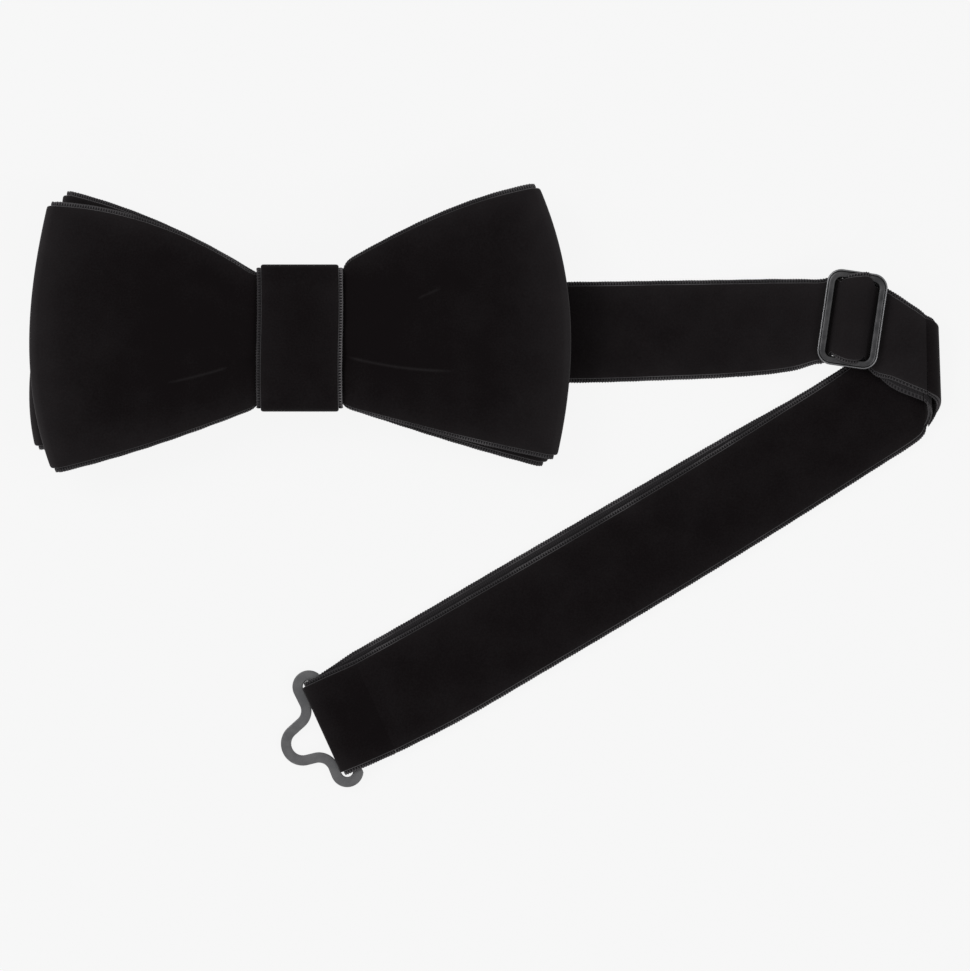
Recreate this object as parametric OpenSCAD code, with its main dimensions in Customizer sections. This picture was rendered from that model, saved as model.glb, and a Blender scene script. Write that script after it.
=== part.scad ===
// Ready-tied bow tie: two flattened ribbon bows one on the other, held by a knot band,
// on an adjustable neck ribbon that closes with a hook and an eye. It lies on its back,
// face up, with the neck ribbon folded under itself. Millimetres, +Z out of the face.

/* [Bow] */
// Distance between the outermost points of the two wings
bow_span = 119; // [100:1:140]
// Height of a wing at its end, which is the width of the bow ribbon
wing_h = 61; // [50:1:70]
// Height of the gathered waist inside the knot
waist_h = 29.2; // [24:0.2:29.2]
// How much further the middle of a wing's end stands out than its corners
end_bulge = 4.2; // [0:0.2:8]
// How far the wing ends sit above the middle of the knot
wing_lift = 1.7; // [0:0.1:4]
// Turn of the front bow in its own plane
front_tilt = 1.6; // [-2:0.1:2]
// Turn of the back bow in its own plane
back_tilt = -0.8; // [-2:0.1:2]
// Thickness of one ply of bow ribbon
ply = 1.1; // [0.6:0.1:1.1]

/* [Knot] */
// Width of the knot band, across the bow
knot_w = 19; // [14:0.5:24]
// Height of the knot band
knot_h = 32.6; // [32.6:0.2:36]
// Depth of the knot band, from its back to its face
knot_d = 12.9; // [12.9:0.1:15]

/* [Neck ribbon] */
// Width of the neck ribbon
strap_w = 22; // [18:0.5:24]
// Thickness of the neck ribbon
strap_t = 1; // [0.6:0.1:1]
// Length of the folded tail, from the crease to the bar of the eye
tail_l = 151.6; // [130:0.2:180]
// Length of the short tab that carries the hook
tab_l = 32; // [26:1:34]

/* [Slider] */
// Width of the slider, along the ribbon
slider_w = 13.6; // [12:0.1:16]
// Length of the slider, across the ribbon
slider_l = 21.4; // [21:0.1:24]
// Width of the slider's outer bars
slider_bar = 2; // [1.4:0.1:2.2]
// Thickness of the slider's frame
slider_t = 1.2; // [0.8:0.1:1.4]
// Turn of the slider in the plane of the ribbon
slider_turn = -8.3; // [-12:0.1:0]

/* [Hook and eye] */
// Width of the flat band that the eye is stamped to
band_w = 2.1; // [1.6:0.1:2.3]
// Thickness of the sheet of the hook and the eye
sheet_t = 0.9; // [0.6:0.1:1]
// Radius of the eye's nose, along the middle of the band
nose_r = 3.8; // [3.6:0.1:4.2]
// Radius of the eye's two outer lobes
lobe_r = 2.5; // [2.2:0.1:2.8]
// Width of the hook's tongue
tongue_w = 3.6; // [3:0.1:4.2]

/* [Hidden] */
$fn = 48;
gap = 0.1;
velvet = [0.10, 0.09, 0.10];
selvedge = [0.25, 0.24, 0.26];
canvas = [0.85, 0.83, 0.78];
black_metal = [0.12, 0.12, 0.13];
grey_metal = [0.30, 0.30, 0.31];

// The bows: heights of their middles, and half thicknesses at the waist and in the wings
knot_edge = knot_w / 2;
corner_x = bow_span / 2 - end_bulge;
waist_t = 2.05;
wing_t = 1.8;
back_waist_z = 4.95;
back_wing_z = 5.75;
front_waist_z = 9.15;
front_wing_z = 9.7;
seam_y = -6;
seam_gap = 0.5;

// The neck ribbon lies on the table, and rises over its own tail to the crease
strap_y = 1.1;
root_z = 1.8;
root_x = 10.6;
flat_z = strap_t / 2;
ply_z = 1.7;
crease_x = 139;
crease_z = 3;
crease_turn = 2;
crease_slant = 62;
crease_w = strap_w / sin(crease_slant);
outer_r = 2.5;
inner_r = 1.3;
crease_top_y = -4.2;
crease_low_y = -8.6;

// The slider lies over the ribbon, and its middle bar lies under it
slider_x = 122.8;
slider_y = 4.1;
slider_z = 6.2;
mid_bar_z = 5.1;
mid_bar_d = 1.2;
squeezed_w = slider_l - 2 * slider_bar - 1;
through_z = 5.55;
over_z = 7.55;
hem_gap = 0.15;

// The tail runs back from the crease to the bar of the eye
tail_turn = 210.6;
eye_turn = 204.5;
eye_x = crease_x + tail_l * cos(tail_turn);
eye_y = crease_low_y + tail_l * sin(tail_turn);
leg_l = 9;
loop_reach = 1.8;
loop_z = 1.75;
pocket_r = 0.75;
bar_w = 1;
bar_d = 1.3;
drop = 5.2;
hook_x = -root_x - tab_l;

// ---- Outlines and sections that more than one piece uses ----

// Rise of a wing's edge from the waist, 0 at the knot, to the corner, 1
function edge_rise(x) = let(u = max(0, abs(x) - knot_edge) / (corner_x - knot_edge))
    1.45 * u - 0.45 * u * u;
function wing_mid(x) = wing_lift * pow(max(0, abs(x) - knot_edge) / (corner_x - knot_edge), 2);
function half_h(x) = waist_h / 2 + (wing_h - waist_h) / 2 * edge_rise(x);
// One long edge of a bow between its corners at -c and c: the top one has side 1, the low one -1
function long_edge(c, side) = [for (i = [-12:12]) if (i != 0)
    let(x = side * sign(i) * (knot_edge + (c - knot_edge) * (abs(i) - 1) / 11))
    [x, wing_mid(x) + side * half_h(x)]];
// One bulging end of a bow: the right one has side 1, the left one -1
function end_edge(c, side) = [for (i = [1:7]) let(s = side * (1 - i / 4))
    [side * (c + end_bulge * (1 - s * s)), wing_mid(c) + s * half_h(c)]];

// Outline of a bow, with its ends drawn in by inset
module bow_outline(inset) {
    c = corner_x - inset;
    polygon(concat(long_edge(c, 1), end_edge(c, 1), long_edge(c, -1), end_edge(c, -1)));
}

// Side section of a bow: thick at the pleated waist and thinner in the wings
module bow_section(waist_z, wing_z, inset) {
    w = waist_t - inset;
    t = wing_t - inset;
    right = [[knot_edge, waist_z - w], [knot_edge + 7, wing_z - t], [bow_span / 2, wing_z - t],
        [bow_span / 2, wing_z + t], [knot_edge + 7, wing_z + t], [knot_edge, waist_z + w]];
    polygon(concat(right, [for (i = [5:-1:0]) [-right[i][0], right[i][1]]]));
}

// Solid between the outline and the side section
module bow_solid(waist_z, wing_z, inset, end_inset) {
    intersection() {
        linear_extrude(knot_d) bow_outline(end_inset);
        rotate([90, 0, 0]) linear_extrude(2 * wing_h, center = true)
            bow_section(waist_z, wing_z, inset);
    }
}

// A loop of ribbon, open along its two selvedges
module bow_ribbon(waist_z, wing_z, tilt) {
    rotate([0, 0, tilt]) difference() {
        bow_solid(waist_z, wing_z, 0, 0);
        intersection() {
            translate([0, wing_lift, 0]) scale([1, 2, 1]) bow_solid(waist_z, wing_z, ply, ply);
            translate([ply - bow_span / 2, -wing_h, 0]) cube([bow_span - 2 * ply, 2 * wing_h, knot_d]);
        }
    }
}

// The stiff canvas between the two plies of a bow
module bow_canvas(waist_z, wing_z, tilt) {
    rotate([0, 0, tilt]) bow_solid(waist_z, wing_z, ply + gap, ply + end_bulge);
}

// Rectangle with round corners, centred
module round_rect(w, h, r) {
    square([w - 2 * r, h], center = true);
    square([w, h - 2 * r], center = true);
    for (x = [r - w / 2, w / 2 - r], y = [r - h / 2, h / 2 - r]) translate([x, y]) circle(r);
}

// Band of the given wall round the waist: w wide, h high, from z0 to z1
module waist_band(w, h, z0, z1, r, wall) {
    rotate([90, 0, 90]) linear_extrude(w, center = true) translate([0, (z0 + z1) / 2])
        difference() {
            round_rect(h, z1 - z0, r);
            round_rect(h - 2 * wall, z1 - z0 - 2 * wall, max(r - wall, 0.05));
        }
}

// Flat ribbon carried through stations [[x, y, z], heading, pitch, width]
function ribbon_ring(s, t) = let(
    side = [-sin(s[1]), cos(s[1]), 0],
    ahead = [cos(s[1]) * cos(s[2]), sin(s[1]) * cos(s[2]), sin(s[2])],
    up = cross(ahead, side))
    [for (k = [[1, -1], [1, 1], [-1, 1], [-1, -1]]) s[0] + side * k[0] * s[3] / 2 + up * k[1] * t / 2];
module ribbon(stations, t) {
    last = 4 * (len(stations) - 1);
    polyhedron(
        [for (s = stations) each ribbon_ring(s, t)],
        concat([[3, 2, 1, 0]], [[last, last + 1, last + 2, last + 3]],
            [for (i = [0:len(stations) - 2], k = [0:3]) let(a = 4 * i + k, b = 4 * i + (k + 1) % 4)
                each [[a, b, a + 4], [b, b + 4, a + 4]]]),
        convexity = 6);
}

// End of a ribbon folded round a bar at the origin: two legs and a round fold.
// The legs come in at the heights low_z and high_z, measured from the bar.
module folded_end(w, low_z, high_z) {
    rotate([90, 0, 0]) linear_extrude(w, center = true) difference() {
        union() {
            polygon([[-leg_l, low_z - strap_t], [loop_reach, -pocket_r - strap_t],
                [loop_reach, pocket_r + strap_t], [-1.5, pocket_r + strap_t], [-leg_l, high_z + strap_t]]);
            translate([loop_reach, 0]) circle(pocket_r + strap_t);
        }
        polygon([[-leg_l - 1, low_z], [loop_reach, -pocket_r], [loop_reach, pocket_r],
            [-1.5, pocket_r], [-leg_l - 1, high_z]]);
        translate([loop_reach, 0]) circle(pocket_r);
    }
}

// Short stitches across a gap: a row of thread, each one lying along X
module stitch_row(count, pitch, length, d) {
    for (i = [0:count - 1]) translate([0, (i - (count - 1) / 2) * pitch, 0])
        rotate([0, 90, 0]) cylinder(h = length, d = d, center = true);
}

// ---- The bow ----

module front_bow() {
    color(velvet) bow_ribbon(front_waist_z, front_wing_z, front_tilt);
}
module front_interlining() {
    color(canvas) bow_canvas(front_waist_z, front_wing_z, front_tilt);
}
module back_bow() {
    color(velvet) bow_ribbon(back_waist_z, back_wing_z, back_tilt);
}
module back_interlining() {
    color(canvas) bow_canvas(back_waist_z, back_wing_z, back_tilt);
}
// Three turns of thread that gather the two bows
module waist_thread() {
    color(selvedge) for (x = [-1, 0, 1]) translate([x, 0, 0])
        waist_band(0.5, waist_h + 0.9, 2.35, 11.75, 0.5, 0.35);
}
// Velvet band round the waist, its two ends meeting in a seam low on the back
module knot_band() {
    color(velvet) difference() {
        waist_band(knot_w, knot_h, 0, knot_d, 1.8, ply);
        translate([0, seam_y, 0]) cube([knot_w + 1, seam_gap, 2 * ply + 0.1], center = true);
    }
}
// Hand stitches that close the seam of the knot band
module knot_stitches() {
    color(selvedge) translate([0, seam_y, ply / 2]) rotate([0, 0, 90])
        stitch_row(11, 1.6, seam_gap, 0.5);
}

// ---- The neck ribbon where it is sewn in ----

// Inner end of the neck ribbon, under the bows
module strap_root() {
    color(velvet) translate([0.3, strap_y - strap_w / 2, root_z - strap_t / 2])
        cube([root_x - 1, strap_w, strap_t]);
}
// Inner end of the hook tab
module tab_root() {
    color(velvet) translate([0.7 - root_x, strap_y - strap_w / 2, root_z - strap_t / 2])
        cube([root_x - 1, strap_w, strap_t]);
}
// Stitches that join the two inner ends
module root_stitches() {
    color(selvedge) translate([0, strap_y, root_z]) stitch_row(10, 2, 0.6, 0.4);
}

// ---- The neck ribbon up to its crease ----

// A station inside the slider, u along it from its middle bar
function in_slider(u, z, pitch) = [[slider_x + u * cos(slider_turn),
    slider_y + u * sin(slider_turn), z], slider_turn, pitch, squeezed_w];
// From the knot, flat on the table, then up and through the slider
module strap_run() {
    color(velvet) ribbon([
        [[root_x + 0.2, strap_y, root_z], 0, 0, strap_w],
        [[13, strap_y, root_z], 0, -2, strap_w],
        [[20, strap_y, 0.9], 0, -5, strap_w],
        [[28, strap_y, flat_z], 0, 0, strap_w],
        [[90, 1.6, flat_z], 0, 2, strap_w - 0.3],
        [[97, 1.8, 1.4], 0, 11, strap_w - 0.6],
        [[105, 2.2, 3.7], 0, 14, strap_w - 1.6],
        [[111, 3, 5.1], 0, 8, squeezed_w + 1.4],
        in_slider(-7.2, through_z, 0),
        in_slider(-4.6, through_z, 18),
        in_slider(-2.2, over_z - 0.15, 20),
        in_slider(-gap / 2, over_z, 0)
    ], strap_t);
}
// From the slider to the crease
module strap_bridge() {
    color(velvet) ribbon([
        in_slider(gap / 2, over_z, 0),
        in_slider(2.2, over_z - 0.15, -20),
        in_slider(4.6, through_z, -18),
        in_slider(7.2, crease_z + outer_r, 0),
        [[crease_x - gap, crease_top_y, crease_z + outer_r], crease_turn, 0, crease_w]
    ], strap_t);
}
// The second ply under the bridge, from the loop on the slider to the crease
module strap_return() {
    color(velvet) ribbon([
        in_slider(6.4, crease_z + inner_r, 0),
        [[crease_x - gap, crease_top_y - 1, crease_z + inner_r], crease_turn, 0, crease_w]
    ], strap_t);
}
// Half turn of ribbon round the crease, at radius r, stepping down along the crease
module half_turn(r, top_y, low_y) {
    ribbon([for (i = [0:12]) let(a = 15 * i)
        [[crease_x + r * sin(a), top_y + (low_y - top_y) * i / 12, crease_z + r * cos(a)],
            crease_turn, -a, crease_w]], strap_t);
}
module fold_outer() {
    color(velvet) half_turn(outer_r, crease_top_y, crease_low_y);
}
module fold_inner() {
    color(velvet) half_turn(inner_r, crease_top_y - 1, crease_low_y + 0.3);
}

// ---- The tail ----

// Point on the tail's middle line, d from the eye's bar, bowed out sideways by bow
function tail_point(d, bow) = let(u = d / tail_l, off = bow * 4 * u * (1 - u))
    [eye_x - d * cos(tail_turn) - off * sin(tail_turn), eye_y - d * sin(tail_turn) + off * cos(tail_turn)];
function on(p, z) = [p[0], p[1], z];
function leg_end() = [eye_x - (leg_l + gap) * cos(eye_turn), eye_y - (leg_l + gap) * sin(eye_turn)];
function tail_stations(z, crease_y, bow, from_turn) = concat(
    [[[crease_x - gap, crease_y, z], crease_turn + 180, 0, crease_w]],
    [for (d = [138, 110, 80, 50, 26]) [on(tail_point(d, bow), z),
        eye_turn + (from_turn - eye_turn) * min(1, d / 100), 0, strap_w]],
    [[on(leg_end(), z), eye_turn, 0, strap_w]]);
// Lower ply, velvet down
module tail_lower() {
    color(velvet) ribbon(tail_stations(flat_z, crease_low_y, -1, 210), strap_t);
}
// Upper ply, velvet up
module tail_upper() {
    color(velvet) ribbon(tail_stations(ply_z, crease_low_y + 0.3, 1.4, 212), strap_t);
}
// End of the tail, folded loosely round the bar of the eye
module eye_loop() {
    color(velvet) translate([eye_x, eye_y, loop_z]) rotate([0, 0, eye_turn])
        folded_end(strap_w - 0.4, strap_t - loop_z, 1.2 - loop_z);
}

// ---- The eye ----

// Angle between two circles' line of centres and the radius to their inner tangent
function tangent_angle(a, b, ra, rb) = acos((ra + rb) / norm(b - a));
function heading(a, b) = atan2(b[1] - a[1], b[0] - a[0]);
// Points along an arc of the band, as [middle, outward direction, width]
function band_arc(c, r, a0, a1, out, n, w = band_w) = [for (i = [0:n])
    let(a = a0 + (a1 - a0) * i / n) [c + r * [cos(a), sin(a)], out * [cos(a), sin(a)], w]];
// Right half of the eye from its bar: a lobe, a waist curving the other way, half of the nose.
// The straight stretches between them are the circles' inner tangents.
function eye_half() = let(
    lobe = [10.25, lobe_r], waist = [7.8, 8.45], nose = [0, 9.1], waist_r = 3.55,
    t1 = tangent_angle(lobe, waist, lobe_r, waist_r), h1 = heading(lobe, waist),
    t2 = tangent_angle(waist, nose, waist_r, nose_r), h2 = heading(waist, nose))
    concat(band_arc(lobe, lobe_r, -90, -65, 1, 3, bar_w),
        band_arc(lobe, lobe_r, -45, h1 - t1, 1, 12),
        band_arc(waist, waist_r, h1 + 180 - t1, h2 + t2, -1, 6),
        band_arc(nose, nose_r, h2 - 180 + t2, 84, 1, 6));
function mirrored(half) = [for (i = [len(half) - 1:-1:0]) let(b = half[i])
    [[-b[0][0], b[0][1]], [-b[1][0], b[1][1]], b[2]]];
function band_edge(band, side) = [for (b = band) b[0] + b[1] * side * b[2] / 2];
// Flat wavy eye on a narrow bar, its nose resting on the table
module eye() {
    band = concat(eye_half(), mirrored(eye_half()));
    color(grey_metal) translate([eye_x, eye_y, loop_z]) rotate([0, 0, eye_turn - 90])
        rotate([-drop, 0, 0]) linear_extrude(sheet_t, center = true) difference() {
            polygon(band_edge(band, 1));
            polygon(band_edge(band, -1));
        }
}

// ---- The slider ----

module at_slider(z) {
    translate([slider_x, slider_y, z]) rotate([0, 0, slider_turn]) children();
}
// Flat frame with two windows; its middle bar is set lower on two short ears
module slider() {
    color(black_metal) {
        at_slider(slider_z) difference() {
            linear_extrude(slider_t) difference() {
                round_rect(slider_w, slider_l, 3.1);
                round_rect(slider_w - 2 * slider_bar, slider_l - 2 * slider_bar, 1.4);
            }
            for (y = [-1, 1]) translate([0, y * slider_l / 2, slider_t])
                rotate([0, 90, 0]) cylinder(h = slider_w - 4, r = 0.6, center = true);
        }
        at_slider(mid_bar_z) rotate([90, 0, 0])
            cylinder(h = slider_l - slider_bar, d = mid_bar_d, center = true);
        for (y = [-1, 1]) at_slider(mid_bar_z - mid_bar_d / 2)
            translate([-mid_bar_d / 2, y * (slider_l - slider_bar) / 2 - slider_bar / 4, 0])
                cube([mid_bar_d, slider_bar / 2, slider_z + 0.6 - mid_bar_z + mid_bar_d / 2]);
    }
}
// End of the ribbon, wrapped round the middle bar and turned back under itself
module slider_loop() {
    bore_r = mid_bar_d / 2 + gap;
    wrap_r = bore_r + strap_t;
    ply_top = through_z - strap_t / 2 - 0.25 - mid_bar_z;
    ply_low = ply_top - strap_t;
    hem_top = ply_low - hem_gap;
    color(velvet) at_slider(mid_bar_z) rotate([90, 0, 0])
        difference() {
            linear_extrude(squeezed_w - 0.8, center = true) polygon(concat(
                [for (a = [80:10:270]) wrap_r * [cos(a), sin(a)]],
                [[8.5, hem_top - strap_t], [8.5, hem_top], [3.6, hem_top], [3.6, ply_low],
                    [6.2, ply_low], [6.2, ply_top], [4.4, ply_top]]));
            cylinder(h = squeezed_w, r = bore_r, center = true);
        }
}
// Bar tack that closes the loop on the slider, across the gap above its hem
module slider_stitches() {
    hem_z = through_z - 1.5 * strap_t - 0.25 - hem_gap;
    color(selvedge) at_slider(hem_z) for (i = [-3:3])
        translate([5.2, 2.2 * i, 0]) cylinder(h = hem_gap, d = 0.5);
}

// ---- The hook tab ----

// Short ribbon from the knot to the hook
module tab_run() {
    color(velvet) ribbon([
        [[-root_x - 0.2, strap_y, root_z], 180, 0, strap_w],
        [[-13, strap_y, root_z], 180, -2, strap_w],
        [[-20, strap_y, 0.9], 180, -5, strap_w],
        [[-27, strap_y, flat_z], 180, 0, strap_w],
        [[hook_x + leg_l + gap, strap_y, flat_z], 180, 0, strap_w]
    ], strap_t);
}
// End of the tab, folded round the bar of the hook and turned back over itself
module hook_loop() {
    color(velvet) translate([hook_x, strap_y, loop_z]) rotate([0, 0, 180])
        folded_end(strap_w, strap_t - loop_z, 1.2 - loop_z);
}
// Row of stitches that holds the turned-back end down
module hook_stitches() {
    color(selvedge) translate([hook_x + leg_l - 0.4, strap_y, strap_t])
        for (i = [-4:4]) translate([0, 2.2 * i, 0]) cylinder(h = 0.4, d = 0.5);
}
// Flat hook: a bar, two arms, and a tongue that turns back over itself
module hook() {
    arm = 7;
    tip = 12.5;
    color(grey_metal) translate([hook_x, strap_y, loop_z]) rotate([0, drop, 180]) {
        rotate([90, 0, 0]) cylinder(h = strap_w + 3, d = bar_d, center = true);
        for (y = [-1, 1]) translate([-band_w / 2, y * (strap_w / 2 + 1.5) - band_w / 2, -sheet_t / 2])
            cube([arm, band_w, sheet_t]);
        translate([arm - 3, -strap_w / 2 - 1.5, -sheet_t / 2]) cube([band_w, strap_w + 3, sheet_t]);
        translate([arm - 2, -tongue_w / 2, -sheet_t / 2]) cube([tip - arm + 2, tongue_w, sheet_t]);
        translate([tip, 0, sheet_t / 2 + 0.5]) rotate([90, 0, 0]) rotate([0, 0, -90])
            linear_extrude(tongue_w, center = true) intersection() {
                difference() {
                    circle(0.5 + sheet_t);
                    circle(0.5);
                }
                translate([-2, 0]) square([4, 2]);
            }
        translate([tip - 3.5, -tongue_w / 2, sheet_t / 2 + 1]) cube([3.5, tongue_w, sheet_t]);
    }
}

front_bow();
front_interlining();
back_bow();
back_interlining();
waist_thread();
knot_band();
knot_stitches();
strap_root();
tab_root();
root_stitches();
strap_run();
strap_bridge();
strap_return();
fold_outer();
fold_inner();
tail_lower();
tail_upper();
eye_loop();
eye();
slider();
slider_loop();
slider_stitches();
tab_run();
hook_loop();
hook_stitches();
hook();
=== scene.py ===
import bpy
import numpy as np
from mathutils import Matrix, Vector


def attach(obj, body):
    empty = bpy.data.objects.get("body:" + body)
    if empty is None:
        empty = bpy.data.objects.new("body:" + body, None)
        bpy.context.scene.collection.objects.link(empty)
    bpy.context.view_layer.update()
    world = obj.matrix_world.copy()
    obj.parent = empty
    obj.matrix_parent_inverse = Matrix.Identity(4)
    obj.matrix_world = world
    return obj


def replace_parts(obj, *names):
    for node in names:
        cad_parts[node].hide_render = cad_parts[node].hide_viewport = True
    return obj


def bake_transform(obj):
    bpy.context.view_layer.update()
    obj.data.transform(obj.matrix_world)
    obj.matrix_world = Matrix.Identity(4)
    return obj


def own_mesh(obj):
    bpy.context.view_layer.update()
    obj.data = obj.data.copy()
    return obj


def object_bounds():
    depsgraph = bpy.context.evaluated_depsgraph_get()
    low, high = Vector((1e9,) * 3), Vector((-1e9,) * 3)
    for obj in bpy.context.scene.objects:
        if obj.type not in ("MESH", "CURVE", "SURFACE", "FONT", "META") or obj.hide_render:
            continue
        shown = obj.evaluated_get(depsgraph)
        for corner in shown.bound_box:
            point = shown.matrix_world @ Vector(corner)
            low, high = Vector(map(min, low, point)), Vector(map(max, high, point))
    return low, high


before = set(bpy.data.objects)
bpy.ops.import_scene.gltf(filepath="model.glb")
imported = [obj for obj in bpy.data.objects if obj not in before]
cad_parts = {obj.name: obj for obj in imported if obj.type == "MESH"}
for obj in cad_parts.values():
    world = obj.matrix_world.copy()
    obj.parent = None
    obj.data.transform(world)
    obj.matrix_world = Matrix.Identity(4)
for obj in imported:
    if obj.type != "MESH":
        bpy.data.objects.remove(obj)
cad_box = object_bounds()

# ---- Table, light and camera ----
# The tie lies face up on a pale table under an even, almost shadowless light, and is seen
# from straight above, from far enough away that nothing leans.
mm = 0.001
view_middle = np.array([41.1, -32.8, 0.0]) * mm
view_width = 215.6 * mm
view_height = 8.0
table_half = 3.0
table_glow = 0.893
room_light = 0.55
scene = bpy.context.scene
scene.view_settings.view_transform = "Standard"

camera = bpy.data.objects.new("camera", bpy.data.cameras.new("camera"))
camera.data.sensor_width = 36
camera.data.clip_end = 50
camera.location = Vector(view_middle) + Vector((0, 0, view_height))
camera.data.lens = 36 * view_height / view_width
scene.collection.objects.link(camera)
scene.camera = camera


def plane(name, half, height):
    """A flat square, half wide each way from the middle of the view, at that height."""
    x, y = view_middle[:2]
    corners = [(x - half, y - half), (x + half, y - half), (x + half, y + half), (x - half, y + half)]
    mesh = bpy.data.meshes.new(name)
    mesh.from_pydata([(a, b, height) for a, b in corners], [], [(0, 1, 2, 3)])
    made = bpy.data.objects.new(name, mesh)
    scene.collection.objects.link(made)
    return made


class Strand:
    """A value on its way through a finish: a node's output socket. Arithmetic adds Math nodes."""

    def __init__(self, tree, socket=None):
        self.tree, self.socket = tree, socket

    def node(self, kind, values=None, out=0, **settings):
        """Any node: its kind, its settings, and its inputs by name or number, fed or set."""
        made = self.tree.nodes.new(kind)
        for key, value in settings.items():
            setattr(made, key, value)
        for key, value in (values or {}).items():
            if isinstance(value, Strand):
                self.tree.links.new(value.socket, made.inputs[key])
            else:
                made.inputs[key].default_value = value
        return Strand(self.tree, made.outputs[out])

    def maths(self, operation, *others):
        return self.node("ShaderNodeMath", dict(enumerate((self, *others))), operation=operation)

    def feed(self, socket):
        self.tree.links.new(self.socket, socket)

    def __add__(self, other):
        return self.maths("ADD", other)

    def __sub__(self, other):
        return self.maths("SUBTRACT", other)

    def __rsub__(self, other):
        return (self * -1.0) + other

    def __mul__(self, other):
        return self.maths("MULTIPLY", other)

    def __neg__(self):
        return self * -1.0

    __radd__ = __add__
    __rmul__ = __mul__


def finish(name, colour, roughness, **sockets):
    """A new finish: one Principled shader, with its plain values set on its own sockets."""
    material = bpy.data.materials.new(name)
    material.use_nodes = True
    shader = material.node_tree.nodes["Principled BSDF"]
    shader.inputs["Base Color"].default_value = (*colour, 1)
    shader.inputs["Roughness"].default_value = roughness
    for socket, value in sockets.items():
        shader.inputs[socket.replace("_", " ")].default_value = value
    return material, shader, Strand(material.node_tree)


table_finish, _, strand = finish(
    "lit table", (0.03, 0.03, 0.03), 0.9, Specular_IOR_Level=0.0, Emission_Color=(1, 1, 1, 1),
    Emission_Strength=table_glow)
table = plane("table", table_half, cad_box[0][2] - 0.1 * mm)
table.data.materials.append(table_finish)

room = bpy.data.worlds.new("soft room")
room.use_nodes = True
room.node_tree.nodes["Background"].inputs["Color"].default_value = (1, 1, 1, 1)
room.node_tree.nodes["Background"].inputs["Strength"].default_value = room_light
scene.world = room


def lamp(name, place, size, power):
    """A square soft light that faces the middle of the tie."""
    light = bpy.data.lights.new(name, "AREA")
    light.size, light.energy = size, power
    made = bpy.data.objects.new(name, light)
    made.location = place
    aim = Vector(view_middle) - Vector(place)
    made.rotation_euler = aim.to_track_quat("-Z", "Y").to_euler()
    scene.collection.objects.link(made)


lamp("window side", (-0.9, 0.6, 1.1), 0.8, 14)
lamp("far side", (1.2, -0.5, 1.0), 0.8, 9)
lamp("low side", (-0.5, -0.95, 0.6), 0.15, 2.5)

# ---- The two bows ----
# Each bow is one wide single-faced velvet ribbon, looped flat with its pile outwards, so both
# plies show their woven selvedges above and below and the ribbon folds over at each end. The
# waists are gathered to half their height, which throws soft pleats out into the wings.


def loops_of_weft(points, edges, loop):
    """Small eight-sided beads along a ribbon's two edge columns, one for each turn of the
    weft, which stick out past the selvedge as fine teeth. Returns their corners and faces."""
    made = []
    for here, inward in edges:
        line, out = points[:, here], points[:, here] - points[:, inward]
        if loop:
            line, out = (np.concatenate([a, a[:1]]) for a in (line, out))
        gone = np.concatenate([[0], np.cumsum(np.linalg.norm(np.diff(line, axis=0), axis=1))])
        stops = np.arange(0.5 * rung_pitch * mm, gone[-1] - 0.2 * mm, rung_pitch * mm)
        at, out = (np.stack([np.interp(stops, gone, c) for c in a.T], -1) for a in (line, out))
        ahead = np.gradient(at, axis=0)
        ahead = ahead / np.linalg.norm(ahead, axis=1)[:, None]
        out = out / np.linalg.norm(out, axis=1)[:, None]
        up = np.cross(ahead, out)
        size = 1 + 0.35 * np.sin(stops / mm * 9.1)[:, None]
        arms = [ahead * 0.26 * mm, out * 0.13 * mm * size, up * 0.15 * mm]
        made.append(np.stack([at + sign * arm for sign in (1, -1) for arm in arms], 1))
    corners = np.concatenate(made)
    turn = np.array([(0, 1, 2), (1, 3, 2), (3, 4, 2), (4, 0, 2), (1, 0, 5), (3, 1, 5), (4, 3, 5), (0, 4, 5)])
    faces = (np.arange(len(corners))[:, None, None] * 6 + turn).reshape(-1, 3)
    return corners.reshape(-1, 3), faces


rung_pitch = 0.62


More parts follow.
